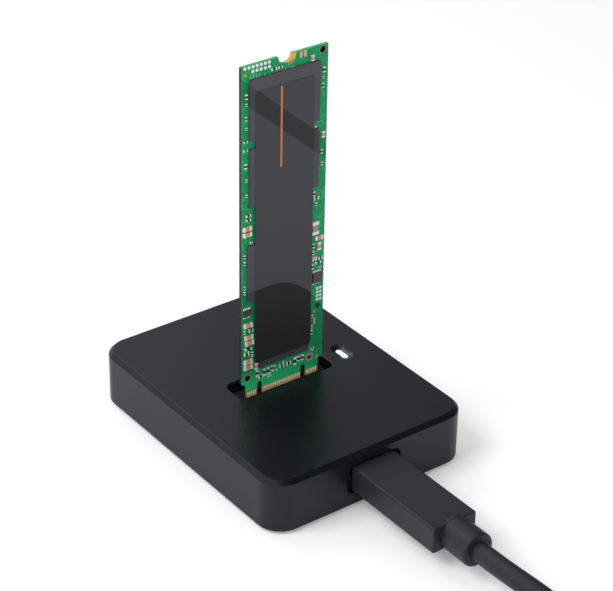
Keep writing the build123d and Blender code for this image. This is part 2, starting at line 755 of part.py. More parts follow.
def corner_radii(points):
    # The largest arc at each corner that leaves the runs beside it straight in their middle
    radii = []
    for before, corner, after in zip(points, points[1:], points[2:]):
        run_in = Vector(*corner) - Vector(*before)
        run_out = Vector(*after) - Vector(*corner)
        turn = math.radians(run_in.get_angle(run_out))
        radii.append(0.45 * min(run_in.length, run_out.length) / math.tan(turn / 2))
    return radii


def cable_tube(points, name):
    radii = corner_radii(points)
    with BuildPart() as tube:
        with BuildLine() as route:
            FilletPolyline(*points, radius=radii)
        with BuildSketch(Plane(origin=route.line @ 0, z_dir=route.line % 0)):
            Circle(cable_diameter / 2)
        sweep()
    save(tube, name)
    route_length = route.wire().length
    whole = math.pi * (cable_diameter / 2) ** 2 * route_length
    print(name, "radii", [round(radius, 1) for radius in radii])
    print(name, "length", round(route_length, 2), "volume", round(tube.part.volume, 1), "of", round(whole, 1))
    return route_length


# Cable: out of the plug, down to the table and into the coil at its left side
coil_outer_turn = coil_radius + coil_step
coil_inner_turn = coil_radius - coil_step
coil_turn_z = coil_lift + cable_diameter / 2
cable_points = [
    (0, relief_end, usb_z),
    (0, relief_end + 7.5, usb_z),
    (-1.2, relief_end + 17.0, usb_z - 0.6),
    (-2.9, relief_end + 26.5, usb_z - 2.6),
    (coil_x - coil_outer_turn, relief_end + 35.5, coil_turn_z + 0.1),
    (coil_x - coil_outer_turn, coil_y, coil_turn_z),
]
lead_length = cable_tube(cable_points, "usb_cable")

# Coil: two turns side by side with the start of a third on top, as one closed solid
with BuildPart() as cable_coil:
    coil_width = 2 * coil_step + cable_diameter
    coil_axis = Axis((coil_x, coil_y, 0), (0, 0, 1))
    left_side = Plane(origin=(coil_x, coil_y, 0), x_dir=(-1, 0, 0), z_dir=(0, 1, 0))
    with BuildSketch(left_side):
        with Locations((coil_radius, coil_turn_z)):
            RectangleRounded(coil_width, cable_diameter, coil_round)
    revolve(axis=coil_axis, revolution_arc=360)
    with BuildSketch(left_side):
        with Locations((coil_radius, coil_turn_z + coil_top_rise / 2)):
            RectangleRounded(cable_diameter, cable_diameter + coil_top_rise, coil_round)
    revolve(axis=coil_axis, revolution_arc=-coil_top_arc)
save(cable_coil, "cable_coil")

# Tie: a flat band round the coil on the side next to the case
with BuildPart() as cable_tie:
    tie_side = Plane(origin=(coil_x - tie_width / 2, coil_y, 0), x_dir=(0, -1, 0), z_dir=(1, 0, 0))
    inner_play = 2 * tie_gap
    outer_play = inner_play + 2 * tie_thickness
    with BuildSketch(tie_side):
        with Locations((coil_radius, -coil_turn_z)):
            RectangleRounded(coil_width + outer_play, cable_diameter + outer_play, coil_round + tie_thickness)
            RectangleRounded(coil_width + inner_play, cable_diameter + inner_play, coil_round, mode=Mode.SUBTRACT)
    extrude(amount=tie_width)
save(cable_tie, "cable_tie")

# Tail: off the coil's top turn, over the outer turn and down to the far plug
far_heading = math.radians(far_plug_turn)
far_way = Vector(math.sin(far_heading), -math.cos(far_heading), 0)
far_side = Vector(math.cos(far_heading), math.sin(far_heading), 0)
far_start = Vector(far_plug_x, far_plug_y, far_plug_z)
top_end = math.radians(180 - coil_top_arc)
top_z = coil_turn_z + coil_top_rise
tail_points = [
    (coil_x + coil_radius * math.cos(top_end), coil_y + coil_radius * math.sin(top_end), top_z),
    (coil_x + 23.0, coil_y + 12.4, top_z + 0.7),
    (coil_x + 27.3, coil_y + 6.1, top_z + 0.85),
    (coil_x + 30.3, coil_y - 0.9, top_z + 0.55),
    tuple(far_start - far_way * far_lead),
    tuple(far_start),
]
tail_length = cable_tube(tail_points, "cable_tail")
turns_length = 2 * math.pi * (coil_outer_turn + coil_inner_turn + coil_radius * coil_top_arc / 360)
print("cable length", round(lead_length + turns_length + tail_length, 1))


def along_far(distance):
    # A sketch plane square to the far plug, the given distance from where the cable ends
    return Plane(origin=far_start + far_way * distance, x_dir=far_side, z_dir=far_way)


# Far plug, USB-A: tapered relief, body, metal shell with two windows each side, insert, contacts
with BuildPart() as far_relief:
    with BuildSketch(along_far(0)):
        Circle(far_relief_small)
    with BuildSketch(along_far(far_relief_length)):
        Circle(far_relief_big)
    loft()
save(far_relief, "far_relief")

with BuildPart() as far_body:
    with BuildSketch(along_far(far_relief_length)):
        RectangleRounded(far_body_width, far_body_height, far_body_corner)
    extrude(amount=far_body_length)
    fillet(far_body.faces().filter_by(GeomType.PLANE).sort_by(Axis.Y)[-1].edges(), far_body_edge)
save(far_body, "far_body")

far_shell_start = far_relief_length + far_body_length
with BuildPart() as far_shell:
    with BuildSketch(along_far(far_shell_start)):
        Rectangle(far_shell_width, far_shell_height)
        Rectangle(
            far_shell_width - 2 * far_shell_wall, far_shell_height - 2 * far_shell_wall, mode=Mode.SUBTRACT
        )
    extrude(amount=far_shell_length)
    window_middle = far_start + far_way * (far_shell_start + far_shell_length / 2)
    with BuildSketch(Plane(origin=window_middle, x_dir=far_side, z_dir=(0, 0, 1))):
        with GridLocations(far_window_pitch, 1, 2, 1):
            Rectangle(far_window, far_window)
    extrude(amount=far_shell_height, both=True, mode=Mode.SUBTRACT)
save(far_shell, "far_shell")

insert_width = far_shell_width - 2 * (far_shell_wall + far_insert_gap)
insert_drop = (far_shell_height - far_insert_height) / 2 - far_shell_wall - far_insert_gap
insert_plane = along_far(far_shell_start)
insert_up = 1 if insert_plane.y_dir.Z > 0 else -1
with BuildPart() as far_insert:
    with BuildSketch(insert_plane):
        with Locations((0, insert_up * insert_drop)):
            Rectangle(insert_width, far_insert_height)
    extrude(amount=far_shell_length - 0.5)
save(far_insert, "far_insert")

with BuildPart() as far_contacts:
    with BuildSketch(insert_plane):
        with Locations((0, insert_up * (insert_drop - (far_insert_height + far_contact_thickness) / 2))):
            with GridLocations(far_contact_pitch, 1, 4, 1):
                Rectangle(far_contact_width, far_contact_thickness)
    extrude(amount=far_shell_length - 3.0)
save(far_contacts, "far_contacts")
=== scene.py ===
import math
import re

import bpy
from mathutils import Matrix, Vector


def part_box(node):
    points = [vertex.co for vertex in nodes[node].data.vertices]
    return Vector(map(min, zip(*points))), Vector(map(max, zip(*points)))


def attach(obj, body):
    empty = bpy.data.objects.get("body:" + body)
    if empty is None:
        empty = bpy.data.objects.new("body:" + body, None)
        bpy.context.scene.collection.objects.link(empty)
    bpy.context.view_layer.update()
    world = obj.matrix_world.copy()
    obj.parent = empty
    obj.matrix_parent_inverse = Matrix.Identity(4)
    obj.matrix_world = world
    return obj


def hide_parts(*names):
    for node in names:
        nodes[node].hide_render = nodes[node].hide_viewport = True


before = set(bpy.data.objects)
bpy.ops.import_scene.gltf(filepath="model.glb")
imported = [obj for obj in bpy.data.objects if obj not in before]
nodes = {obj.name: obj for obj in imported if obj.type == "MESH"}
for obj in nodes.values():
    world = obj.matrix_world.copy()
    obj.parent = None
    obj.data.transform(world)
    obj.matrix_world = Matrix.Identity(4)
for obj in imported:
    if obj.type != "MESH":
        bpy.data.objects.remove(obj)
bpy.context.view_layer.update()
mm = 0.001


# Shader maths: a Value wraps one output socket, and the operators on it add Math nodes
class Value:
    def __init__(self, paint, socket):
        self.paint = paint
        self.socket = socket

    def math(self, operation, first, second=0.0):
        return self.paint.value(operation, first, second)

    def __add__(self, other):
        return self.math("ADD", self, other)

    def __sub__(self, other):
        return self.math("SUBTRACT", self, other)

    def __rsub__(self, other):
        return self.math("SUBTRACT", other, self)

    def __mul__(self, other):
        return self.math("MULTIPLY", self, other)

    def __truediv__(self, other):
        return self.math("DIVIDE", self, other)

    def __gt__(self, other):
        return self.math("GREATER_THAN", self, other)

    def __lt__(self, other):
        return self.math("LESS_THAN", self, other)

    def __abs__(self):
        return self.math("ABSOLUTE", self)

    __radd__ = __add__
    __rmul__ = __mul__


# One material in the making: node() adds any node, and the other methods are short for common ones
class Paint:
    def __init__(self, name, **sockets):
        self.material = bpy.data.materials.new(name)
        self.material.use_nodes = True
        self.tree = self.material.node_tree
        self.shader = self.tree.nodes["Principled BSDF"]
        coordinates = self.tree.nodes.new("ShaderNodeTexCoord")
        self.place = Value(self, coordinates.outputs["Object"])
        split = self.tree.nodes.new("ShaderNodeSeparateXYZ")
        self.tree.links.new(coordinates.outputs["Object"], split.inputs[0])
        self.x, self.y, self.z = (Value(self, split.outputs[i]) for i in range(3))
        self.set(**sockets)

    def node(self, kind, settings, inputs, output=0):
        made = self.tree.nodes.new(kind)
        for key, value in settings.items():
            setattr(made, key, value)
        for key, value in inputs.items():
            self.feed(made.inputs[key], value)
        return Value(self, made.outputs[output])

    def value(self, operation, first, second, clamp=False):
        settings = {"operation": operation, "use_clamp": clamp}
        return self.node("ShaderNodeMath", settings, {0: first, 1: second})

    def feed(self, socket, value):
        if isinstance(value, Value):
            self.tree.links.new(value.socket, socket)
        elif isinstance(value, tuple) and len(value) == 3 and socket.type == "RGBA":
            socket.default_value = (*value, 1)
        else:
            socket.default_value = value

    def set(self, **sockets):
        for name, value in sockets.items():
            spaced = re.sub("(?<=[a-z])(?=[A-Z])|(?<=[A-Z])(?=[A-Z][a-z])", " ", name)
            self.feed(self.shader.inputs[spaced], value)

    def mix(self, factor, first, second):
        return self.node("ShaderNodeMix", {"data_type": "RGBA"}, {0: factor, 6: first, 7: second}, 2)

    def noise(self, scale, detail=2.0):
        return self.node("ShaderNodeTexNoise", {}, {
            "Vector": self.place, "Scale": scale, "Detail": detail}, "Fac")

    def bump(self, height, distance, strength=1.0):
        self.set(Normal=self.node("ShaderNodeBump", {}, {
            "Height": height, "Distance": distance, "Strength": strength}))

    def between(self, value, low, high):
        return (value > low) * (value < high)

    def dots(self, pitch, radius, x, y):
        # A square grid of round dots over the plane of x and y, 1 inside a dot
        dx, dy = (self.value("PINGPONG", place, pitch / 2) for place in (x, y))
        return (dx * dx + dy * dy) < radius * radius


def scaled(colour, factor):
    return tuple(factor * part for part in colour)


def deselectAll():
    for obj in bpy.context.selected_objects:
        obj.select_set(False)


def activate(obj):
    deselectAll()
    obj.select_set(True)
    bpy.context.view_layer.objects.active = obj


def inEditMode(obj, *steps):
    activate(obj)
    bpy.ops.object.mode_set(mode="EDIT")
    for step in steps:
        step()
    bpy.ops.object.mode_set(mode="OBJECT")


def selectFaces(obj, test):
    mesh = obj.data
    for vertex in mesh.vertices:
        vertex.select = False
    for edge in mesh.edges:
        edge.select = False
    for face in mesh.polygons:
        face.select = test(face)
    bpy.context.tool_settings.mesh_select_mode = (False, False, True)


def applyModifier(obj, kind, **settings):
    modifier = obj.modifiers.new(kind.title(), kind)
    for key, value in settings.items():
        setattr(modifier, key, value)
    activate(obj)
    bpy.ops.object.modifier_apply(modifier=modifier.name)


def softenEdges(obj, width, segments=2, angle=35):
    applyModifier(obj, "BEVEL", width=width, segments=segments, limit_method="ANGLE",
                  angle_limit=math.radians(angle), harden_normals=False)


def smoothShade(obj, angle=32):
    activate(obj)
    bpy.ops.object.shade_smooth_by_angle(angle=math.radians(angle))
    applyModifier(obj, "WEIGHTED_NORMAL", keep_sharp=True, weight=100)


def finishPiece(obj, name, body, paints):
    # Names the piece, bakes its place into its mesh and hands it to its body
    obj.name = name
    obj.data.name = name
    activate(obj)
    bpy.ops.object.transform_apply(location=True, rotation=True, scale=True)
    if paints:
        obj.data.materials.clear()
        for paint in paints:
            obj.data.materials.append(paint.material)
    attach(obj, body)


def copyNode(node, name, body, paint, bevel=0.0, segments=2, angle=32):
    # A finished copy of a CAD node: its loose triangles merged, its edges rounded and shaded
    source = nodes[node]
    piece = source.copy()
    piece.data = source.data.copy()
    bpy.context.scene.collection.objects.link(piece)
    piece.parent = None
    piece.matrix_world = Matrix.Identity(4)
    selectFaces(piece, lambda face: True)
    inEditMode(piece, lambda: bpy.ops.mesh.select_all(action="SELECT"),
               lambda: bpy.ops.mesh.remove_doubles(threshold=0.000002),
               lambda: bpy.ops.mesh.tris_convert_to_quads(face_threshold=0.01, shape_threshold=0.01),
               lambda: bpy.ops.mesh.dissolve_limited(angle_limit=math.radians(0.5)))
    if bevel:
        softenEdges(piece, bevel, segments)
    smoothShade(piece, angle)
    finishPiece(piece, name, body, [paint])
    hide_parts(node)
    return piece


def paintNode(node, paint):
    # A CAD node whose own shape is right gets its finish
    obj = nodes[node]
    for slot in obj.material_slots:
        slot.material = paint.material


# Camera, at the place solved from the photograph
photoCamera = {
    "azimuth": 142.847, "elevation": 30.661, "roll": 0.987, "distance": 477.613,
    "right": 5.964, "up": 28.558, "focalPixels": 2125.148, "imageWidth": 613, "sensor": 36.0, "lift": 0.8,
}


def makeCamera():
    azimuth, elevation, roll = (math.radians(photoCamera[key]) for key in ("azimuth", "elevation", "roll"))
    forward = Vector((-math.sin(azimuth) * math.cos(elevation), math.cos(azimuth) * math.cos(elevation),
                      -math.sin(elevation)))
    right = forward.cross(Vector((0, 0, 1))).normalized()
    up = right.cross(forward)
    turnedRight = math.cos(roll) * right + math.sin(roll) * up
    turnedUp = math.cos(roll) * up - math.sin(roll) * right
    place = turnedRight * photoCamera["right"] + turnedUp * photoCamera["up"]
    place -= forward * photoCamera["distance"]
    place.z += photoCamera["lift"]
    data = bpy.data.cameras.new("photoCamera")
    data.sensor_width = photoCamera["sensor"]
    data.lens = photoCamera["focalPixels"] * photoCamera["sensor"] / photoCamera["imageWidth"]
    data.clip_start = 0.01
    camera = bpy.data.objects.new("photoCamera", data)
    bpy.context.scene.collection.objects.link(camera)
    camera.matrix_world = Matrix.Translation(place * mm) @ Matrix(
        (turnedRight, turnedUp, -forward)).transposed().to_4x4()
    bpy.context.scene.camera = camera


makeCamera()
print("camera placed")

# Soft black jacket of the cable and its mouldings
jacket = {
    "colour": (0.017, 0.018, 0.022), "darkest": 0.85, "palest": 1.15, "toneScale": 160.0,
    "roughness": 0.37, "wear": 0.10, "wearScale": 700.0, "grain": 9000, "grainDepth": 0.000012,
}


def makeJacketPaint():
    paint = Paint("cableJacket")
    dark, pale = scaled(jacket["colour"], jacket["darkest"]), scaled(jacket["colour"], jacket["palest"])
    paint.set(BaseColor=paint.mix(paint.noise(jacket["toneScale"]), dark, pale))
    paint.set(Roughness=paint.noise(jacket["wearScale"]) * jacket["wear"] + jacket["roughness"])
    paint.bump(paint.noise(jacket["grain"]), jacket["grainDepth"], 0.6)
    return paint


jacketPaint = makeJacketPaint()

# Cable: one spline through the lead from the plug, the coil's turns and the tail to the far plug
cable = {
    "diameter": 4.5, "exit": (0, 67.9, 7.13), "length": 0.455, "coilMiddle": (24.4, 108.85),
    "pointsPerTurn": 20, "swell": 1.006, "smoothness": 8,
    "lead": [(0, 75.4, 7.13), (-1.2, 84.9, 6.53), (-2.9, 94.4, 4.53), (-4.0, 103.4, 2.9)],
    "coil": [  # degrees wound, radius, height
        (0, 28.6, 2.8), (720, 19.4, 2.8), (750, 19.3, 5.0), (762, 21.0, 6.5), (775, 23.4, 7.4),
        (800, 25.0, 6.9), (846, 24.8, 6.75)],
    "tail": [(46.8, 123.4, 7.35), (51.1, 117.1, 7.5), (54.1, 110.1, 7.2), (55.48, 102.68, 4.1),
             (56.0, 95.3, 4.1)],
}


def coilPoint(wound):
    steps = cable["coil"]
    for (w0, r0, z0), (w1, r1, z1) in zip(steps, steps[1:]):
        if wound <= w1:
            share = (wound - w0) / (w1 - w0)
            radius, height = r0 + (r1 - r0) * share, z0 + (z1 - z0) * share
            break
    angle = math.radians(180 - wound)
    middleX, middleY = cable["coilMiddle"]
    radius *= cable["swell"]
    return (middleX + radius * math.cos(angle), middleY + radius * math.sin(angle), height)


def makeCable():
    last = cable["coil"][-1][0]
    step = 360 / cable["pointsPerTurn"]
    turns = [coilPoint(i * step) for i in range(int(last / step) + 1)]
    points = [cable["exit"]] + cable["lead"] + turns + cable["tail"]
    curve = bpy.data.curves.new("usbCable", "CURVE")
    curve.dimensions = "3D"
    curve.bevel_depth = cable["diameter"] / 2 * mm
    curve.bevel_resolution = curve.resolution_u = cable["smoothness"]
    curve.use_fill_caps = True
    spline = curve.splines.new("NURBS")
    spline.points.add(len(points) - 1)
    for point, place in zip(spline.points, points):
        point.co = (*(c * mm for c in place), 1)
    spline.order_u = 3
    spline.use_endpoint_u = True
    cord = bpy.data.objects.new("usbCableCord", curve)
    bpy.context.scene.collection.objects.link(cord)
    curve.materials.append(jacketPaint.material)
    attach(cord, "cable")
    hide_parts("usb_cable", "cable_coil", "cable_tail")
    return cord


cableCord = makeCable()
print("cable laid")

# Black plastics: a bluish sheen, tone and roughness that drift a little, and a fine grain
plastic = {
    "sheen": (0.80, 0.845, 1.0, 1.0), "darkest": 0.90, "palest": 1.10, "broadScale": 35.0,
    "fineScale": 2600.0, "fineWear": 0.08, "broadWear": 0.06, "grain": 11000, "grainDepth": 0.000010,
}


def makePlasticPaint(name, colour, roughness, specular=0.35):
    paint = Paint(name, SpecularIORLevel=specular, SpecularTint=plastic["sheen"])
    broad = paint.noise(plastic["broadScale"], 3.0)
    fine = paint.noise(plastic["fineScale"], 2.0)
    dark, pale = scaled(colour, plastic["darkest"]), scaled(colour, plastic["palest"])
    paint.set(BaseColor=paint.mix(broad * 0.7 + fine * 0.3, dark, pale))
    middle = roughness - (plastic["fineWear"] + plastic["broadWear"]) / 2
    paint.set(Roughness=fine * plastic["fineWear"] + broad * plastic["broadWear"] + middle)
    paint.bump(paint.noise(plastic["grain"], 1.0), plastic["grainDepth"], 0.5)
    return paint


casePaint = makePlasticPaint("caseSatinBlack", (0.0050, 0.0055, 0.0068), 0.29, 0.56)
plugPaint = makePlasticPaint("plugSatinBlack", (0.021, 0.022, 0.026), 0.34, 0.42)
innerPaint = makePlasticPaint("innerMattBlack", (0.014, 0.014, 0.016), 0.62)
housingPaint = makePlasticPaint("socketSatinBlack", (0.005, 0.0052, 0.006), 0.5, 0.12)
rubberPaint = makePlasticPaint("footRubber", (0.018, 0.018, 0.019), 0.75)
boardChipPaint = makePlasticPaint("boardChipMoulding", (0.030, 0.030, 0.032), 0.5)

# Plated and tinned metal
plating = {
    "darkest": 0.86, "toneScale": 420.0, "wear": 0.16, "wearScale": 1500.0, "grain": 6000.0,
    "grainDepth": 0.000006,
}


def makeMetalPaint(name, colour, roughness, metallic=1.0):
    paint = Paint(name, Metallic=metallic)
    drift = paint.noise(plating["toneScale"], 3.0)
    paint.set(BaseColor=paint.mix(drift, scaled(colour, plating["darkest"]), colour))
    middle = roughness - plating["wear"] / 2
    paint.set(Roughness=paint.noise(plating["wearScale"]) * plating["wear"] + middle)
    paint.bump(paint.noise(plating["grain"]), plating["grainDepth"], 0.4)
    return paint


nickelPaint = makeMetalPaint("nickelPlate", (0.62, 0.61, 0.59), 0.28)
goldPaint = makeMetalPaint("goldPlate", (0.70, 0.48, 0.22), 0.45, 0.35)
tinPaint = makeMetalPaint("tinnedEnd", (0.86, 0.86, 0.88), 0.45, 0.3)
screwPaint = makeMetalPaint("screwZinc", (0.40, 0.40, 0.41), 0.35)
solderPaint = makeMetalPaint("solderPad", (0.90, 0.90, 0.90), 0.45, 0.2)
copperPinkPaint = makeMetalPaint("barePadPink", (0.80, 0.42, 0.36), 0.42, 0.3)
fiducialPaint = makeMetalPaint("fiducialCopper", (0.85, 0.34, 0.08), 0.4, 0.3)
canPaint = makeMetalPaint("oscillatorCan", (0.52, 0.42, 0.46), 0.4, 0.4)

# Ceramic bodies and printed marks
ceramic = {"darkest": 0.75, "scale": 1900.0, "roughness": 0.38, "wear": 0.2}


def makeCeramicPaint(name, colour):
    paint = Paint(name)
    mottle = paint.noise(ceramic["scale"], 2.0)
    paint.set(BaseColor=paint.mix(mottle, scaled(colour, ceramic["darkest"]), colour))
    paint.set(Roughness=mottle * ceramic["wear"] + ceramic["roughness"])
    return paint


tanPaint = makeCeramicPaint("ceramicTan", (0.60, 0.30, 0.17))
greyCeramicPaint = makeCeramicPaint("ceramicGrey", (0.30, 0.29, 0.29))
darkCeramicPaint = makeCeramicPaint("ceramicDark", (0.03, 0.03, 0.035))
lidPaint = makeCeramicPaint("oscillatorLid", (0.045, 0.045, 0.10))
bluePaint = makeCeramicPaint("blueMark", (0.006, 0.010, 0.055))
tanRingPaint = makeCeramicPaint("holeRing", (0.30, 0.22, 0.14))
palePaint = makeCeramicPaint("palePoint", (0.30, 0.72, 0.50))

# The card's front, seen from the cable side: u runs from its left edge, v from its contact edge
cardLow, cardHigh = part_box("card_board")
cardFront = cardHigh.y


def onCard(u, v, out=0.0):
    return Vector((cardHigh.x - u * mm, cardFront + out * mm, cardLow.z + v * mm))


def cardAxes(paint):
    u = (cardHigh.x - paint.x) / mm
    v = (paint.z - cardLow.z) / mm
    return u, v


# Painted dark reflections on the card's front: a dark diagonal band and a dark field with an arched top
paintedReflections = {
    "bandTop": 77.5, "bandLow": 72.5, "slope": 0.875, "archTop": 27.6, "archStart": 7.6, "archFall": 0.052,
}


def paintedDarkReflections(paint, u, v):
    front = paint.y > (cardLow.y + cardHigh.y) / 2
    band = paint.between(v + u * paintedReflections["slope"], paintedReflections["bandLow"], paintedReflections["bandTop"]) * front
    over = paint.value("MAXIMUM", u - paintedReflections["archStart"], 0.0)
    arch = (v < (paintedReflections["archTop"] - over * over * paintedReflections["archFall"])) * front
    return band, arch


# Darkens a colour where the painted dark reflections of the band and the arched field fall
def toneUnderPaintedReflections(paint, u, v, look):
    band, arch = paintedDarkReflections(paint, u, v)
    colour = paint.mix(band, look["colour"], scaled(look["colour"], look["band"]))
    return paint.mix(arch, colour, scaled(look["colour"], look["arch"]))


# The board's green mask over its traces and vias, paler at the foot, brown between the fingers; painted dark
# reflections deepen it, and its side edges carry painted shade
boardGreen = {
    "mask": (0.016, 0.30, 0.105), "deep": (0.006, 0.150, 0.066), "mottleScale": 900.0, "mottle": 0.5,
    "trace": (0.035, 0.38, 0.15), "traceCells": 640.0, "traceWidth": 0.07, "traceField": 210.0,
    "via": (0.10, 0.40, 0.22), "viaPitch": 1.1, "viaRadius": 0.16, "viaField": 330.0,
    "foot": (0.030, 0.52, 0.20), "footTop": 7.5, "footRise": 0.24, "footShare": 0.9, "footFall": 0.03,
    "underFingers": (0.34, 0.17, 0.045), "fingerTop": 1.8, "fingerU": (1.3, 20.7),
    "edge": (0.020, 0.021, 0.022), "litTopEdge": (0.075, 0.36, 0.15), "wall": (0.55, 0.32, 0.08),
    "notchU": (9.0, 13.0), "notchV": 78.0, "roughness": 0.25, "wear": 0.15,
}


def makeMask(paint):
    mottle = paint.noise(boardGreen["mottleScale"], 3.0)
    return mottle, paint.mix(mottle * boardGreen["mottle"], boardGreen["mask"], boardGreen["deep"])


def makeBoardPaint():
    paint = Paint("boardGreen", SpecularIORLevel=0.12)
    u, v = cardAxes(paint)
    band, arch = paintedDarkReflections(paint, u, v)
    mottle, green = makeMask(paint)
    cells = paint.node("ShaderNodeTexVoronoi", {"feature": "DISTANCE_TO_EDGE"}, {
        "Vector": paint.place, "Scale": boardGreen["traceCells"]})
    traces = (cells < boardGreen["traceWidth"]) * (paint.noise(boardGreen["traceField"]) > 0.50)
    grid = paint.dots(boardGreen["viaPitch"] * mm, boardGreen["viaRadius"] * mm, paint.x, paint.z)
    vias = grid * (paint.noise(boardGreen["viaField"]) > 0.53)
    green = paint.mix(traces * 0.8, green, boardGreen["trace"])
    green = paint.mix(vias * 0.7, green, boardGreen["via"])
    # Painted dark reflections: the green turns deeper in the arched field and in the diagonal band
    green = paint.mix(arch * 0.55, green, boardGreen["deep"])
    green = paint.mix(band * 0.6, green, boardGreen["deep"])
    rise = paint.value("MULTIPLY", boardGreen["footTop"] - v, boardGreen["footRise"], True)
    share = boardGreen["footShare"] - u * boardGreen["footFall"]
    green = paint.mix(rise * share, green, boardGreen["foot"])
    inTongue = (v < boardGreen["fingerTop"]) * paint.between(u, *boardGreen["fingerU"])
    green = paint.mix(inTongue, green, boardGreen["underFingers"])
    normal = paint.node("ShaderNodeNewGeometry", {}, {}, "True Normal")
    normalX, normalY, normalZ = (paint.node("ShaderNodeSeparateXYZ", {}, {0: normal}, i) for i in range(3))
    # Painted shade: the board's side edges are near black as if in shade, and its top edge takes a lit green
    edge = paint.mix(normalZ > 0.5, boardGreen["edge"], boardGreen["litTopEdge"])
    inNotch = paint.between(u, *boardGreen["notchU"]) * (v > boardGreen["notchV"]) * (normalX > 0.2)
    edge = paint.mix(inNotch, edge, boardGreen["wall"])
    paint.set(BaseColor=paint.mix(abs(normalY) > 0.5, edge, green))
    paint.set(Roughness=mottle * boardGreen["wear"] + boardGreen["roughness"])
    paint.bump(traces + vias * 0.5, 0.00002, 0.5)
    return paint


boardPaint = makeBoardPaint()

# The ring round the screw notch: green like the mask, turning to gold up its right limb
notchRing = {
    "gold": (0.80, 0.42, 0.07), "startU": 11.6, "lowV": 77.7, "highV": 79.6, "least": 0.15, "most": 0.95,
}


def makeRingPaint():
    paint = Paint("notchRing", SpecularIORLevel=0.2)
    u, v = cardAxes(paint)
    rise = paint.node("ShaderNodeMapRange", {}, {
        0: v, 1: notchRing["lowV"], 2: notchRing["highV"], 3: notchRing["least"], 4: notchRing["most"]})
    mottle, green = makeMask(paint)
    paint.set(BaseColor=paint.mix(rise * (u > notchRing["startU"]), green, notchRing["gold"]))
    paint.set(Roughness=mottle * boardGreen["wear"] + boardGreen["roughness"] + 0.05)
    return paint


ringPaint = makeRingPaint()

# Contacts of the card: gold with a worn line, a bevelled foot and the mask over their tops
fingers = {
    "gold": (1.0, 0.86, 0.56), "worn": (0.95, 0.72, 0.40), "wornScale": 700.0, "lineV": (0.62, 0.74),
    "line": (0.25, 0.16, 0.07), "bevelV": 0.30, "bevel": (0.62, 0.30, 0.07), "maskV": 1.80,
    "roughness": 0.35, "wear": 0.15,
}


def makeFingerPaint():
    paint = Paint("fingerGold", Metallic=0.1)
    v = cardAxes(paint)[1]
    drift = paint.noise(fingers["wornScale"])
    gold = paint.mix(drift, fingers["gold"], fingers["worn"])
    gold = paint.mix(paint.between(v, *fingers["lineV"]) * 0.7, gold, fingers["line"])
    gold = paint.mix(v < fingers["bevelV"], gold, fingers["bevel"])
    paint.set(BaseColor=paint.mix(v > fingers["maskV"], gold, boardGreen["foot"]))
    paint.set(Roughness=drift * fingers["wear"] + fingers["roughness"])
    paint.bump(drift, 0.000008, 0.4)
    return paint


fingerPaint = makeFingerPaint()

# Moulding of the card's chips, darker where the painted dark reflections of the band and arched field fall
chipGrey = {
    "colour": (0.066, 0.063, 0.073), "band": 0.55, "arch": 0.50, "speck": (0.16, 0.155, 0.17),
    "speckScale": 5200.0, "speckShare": 0.25, "roughness": 0.37, "wear": 0.14,
}


def makeChipPaint():
    paint = Paint("chipMoulding", SpecularIORLevel=0.15)
    speckle = paint.noise(chipGrey["speckScale"], 2.0)
    tone = toneUnderPaintedReflections(paint, *cardAxes(paint), chipGrey)
    paint.set(BaseColor=paint.mix(speckle * chipGrey["speckShare"], tone, chipGrey["speck"]))
    paint.set(Roughness=speckle * chipGrey["wear"] + chipGrey["roughness"])
    paint.bump(speckle, 0.00001, 0.5)
    return paint


chipPaint = makeChipPaint()

# Film of the card's labels, with the thin orange rule on the front one; the front label is darker where the
# painted dark reflections of the band and arched field fall
labelGrey = {
    "colour": (0.055, 0.053, 0.060), "band": 0.50, "arch": 0.28, "fibre": (0.12, 0.12, 0.13),
    "fibreScale": 3800.0, "fibreShare": 0.12, "rule": (0.62, 0.20, 0.055), "ruleU": (9.40, 9.82),
    "ruleV": (55.4, 73.8), "roughness": 0.30, "wear": 0.10,
}


def makeLabelPaint():
    paint = Paint("cardLabelFilm", SpecularIORLevel=0.12)
    u, v = cardAxes(paint)
    fibre = paint.noise(labelGrey["fibreScale"], 2.0)
    tone = toneUnderPaintedReflections(paint, u, v, labelGrey)
    tone = paint.mix(fibre * labelGrey["fibreShare"], tone, labelGrey["fibre"])
    rule = paint.between(u, *labelGrey["ruleU"]) * paint.between(v, *labelGrey["ruleV"])
    paint.set(BaseColor=paint.mix(rule * (paint.y > cardFront), tone, labelGrey["rule"]))
    paint.set(Roughness=fibre * labelGrey["wear"] + labelGrey["roughness"])
    paint.bump(fibre, 0.000006, 0.4)
    return paint


labelPaint = makeLabelPaint()

# Light window, lit from below
lightWhite = {
    "scale": 500.0, "body": [(0.86, 0.87, 0.88), (0.94, 0.94, 0.95)],
    "glow": [(0.88, 0.90, 0.92), (1.0, 1.0, 1.0)], "strength": 0.2,
}


def makeLightPaint():
    paint = Paint("lightWindowWhite", Roughness=0.25, SubsurfaceWeight=0.2,
                  EmissionStrength=lightWhite["strength"])
    cloud = paint.noise(lightWhite["scale"])
    paint.set(BaseColor=paint.mix(cloud, *lightWhite["body"]))
    paint.set(EmissionColor=paint.mix(cloud, *lightWhite["glow"]))
    return paint


lightPaint = makeLightPaint()
print("finishes mixed")

